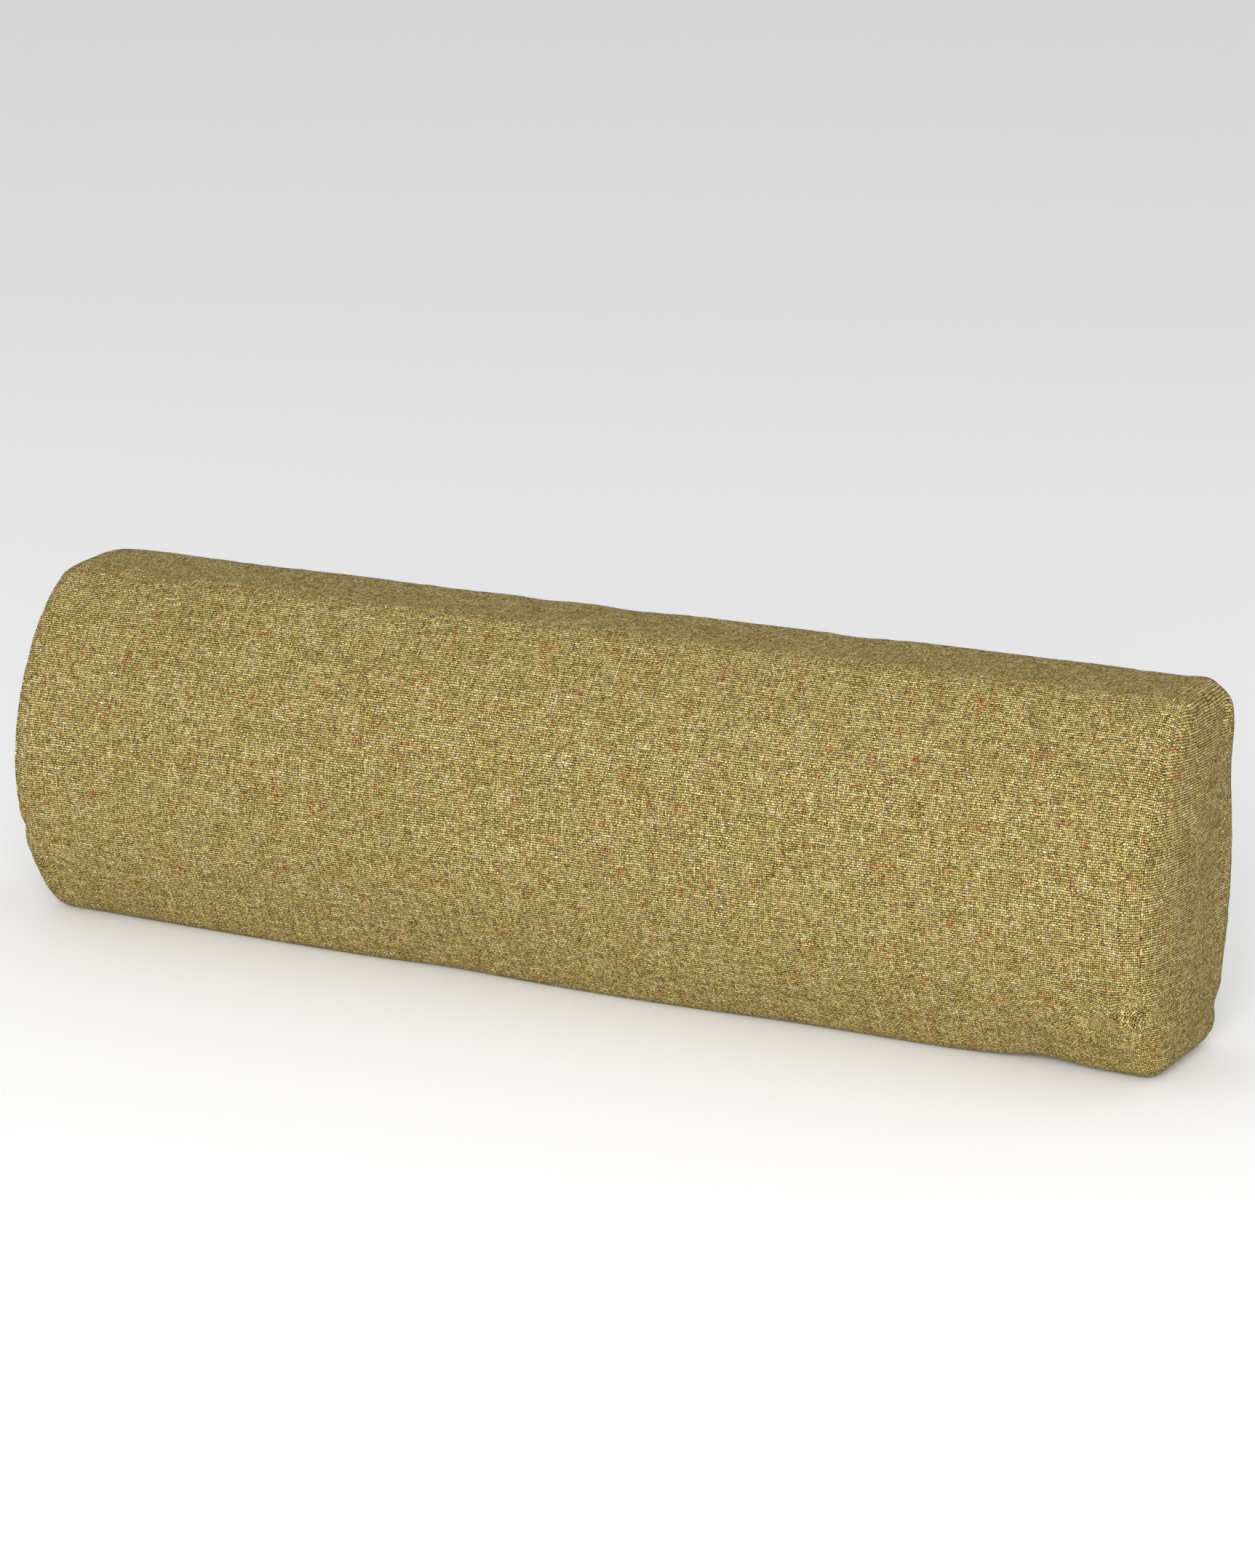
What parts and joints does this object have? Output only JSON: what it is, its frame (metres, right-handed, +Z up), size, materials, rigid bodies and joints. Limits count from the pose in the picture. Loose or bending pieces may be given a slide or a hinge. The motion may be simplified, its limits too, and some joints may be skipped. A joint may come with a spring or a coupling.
{
  "type": "bolster pillow",
  "caption": "Half-round foam bolster pillow with a flat back, in a sewn woven-fabric cover with a back zip, over a lined and wadded foam core.",
  "frame": {"origin": "centre of the underside: middle of the bounding box at its lowest level", "axes": "+X along the bolster, +Y out of the flat back, -Y out of the rounded front, +Z up from the flat underside to the flat top"},
  "size_m": [0.68, 0.1099, 0.195],
  "materials": {
    "tweed": "matte",
    "zip_tape": "matte",
    "zip_nylon": "satin",
    "zip_metal": "satin",
    "sewing_thread": "matte",
    "label_satin": "satin",
    "lining_cloth": "matte",
    "wadding_fibre": "matte",
    "foam": "matte"
  },
  "bodies": {
    "cushion": {"cover_front_wrap": "tweed", "cover_end_right": "tweed", "cover_end_left": "tweed", "cover_back_upper": "tweed", "cover_back_lower": "tweed", "lining_front_wrap": "lining_cloth", "lining_back": "lining_cloth", "lining_end_right": "lining_cloth", "lining_end_left": "lining_cloth", "wadding_wrap": "wadding_fibre", "wadding_end_right": "wadding_fibre", "wadding_end_left": "wadding_fibre", "foam_core": "foam", "zip_tape_upper": "zip_tape", "zip_tape_lower": "zip_tape", "zip_coil_upper": "zip_nylon", "zip_coil_lower": "zip_nylon", "zip_top_stop_upper": "zip_metal", "zip_top_stop_lower": "zip_metal", "zip_bottom_stop": "zip_metal", "zip_stitch_upper": "sewing_thread", "zip_stitch_lower": "sewing_thread", "bartack_right": "sewing_thread", "bartack_left": "sewing_thread", "care_label": "label_satin"},
    "zip_slider": {"zip_slider_body": "zip_metal"},
    "zip_pull": {"zip_pull_tab": "zip_metal"}
  },
  "joints": [
    {"name": "zip_slide", "type": "slide", "parent": "cushion", "child": "zip_slider", "axis": [-1, 0, 0], "range_m": [0, 0.558]},
    {"name": "pull_tab_hinge", "type": "hinge", "parent": "zip_slider", "child": "zip_pull", "pos_m": [0.2792, 0.05188, 0.045], "axis": [0, 0, -1], "range_deg": [0, 165]}
  ]
}
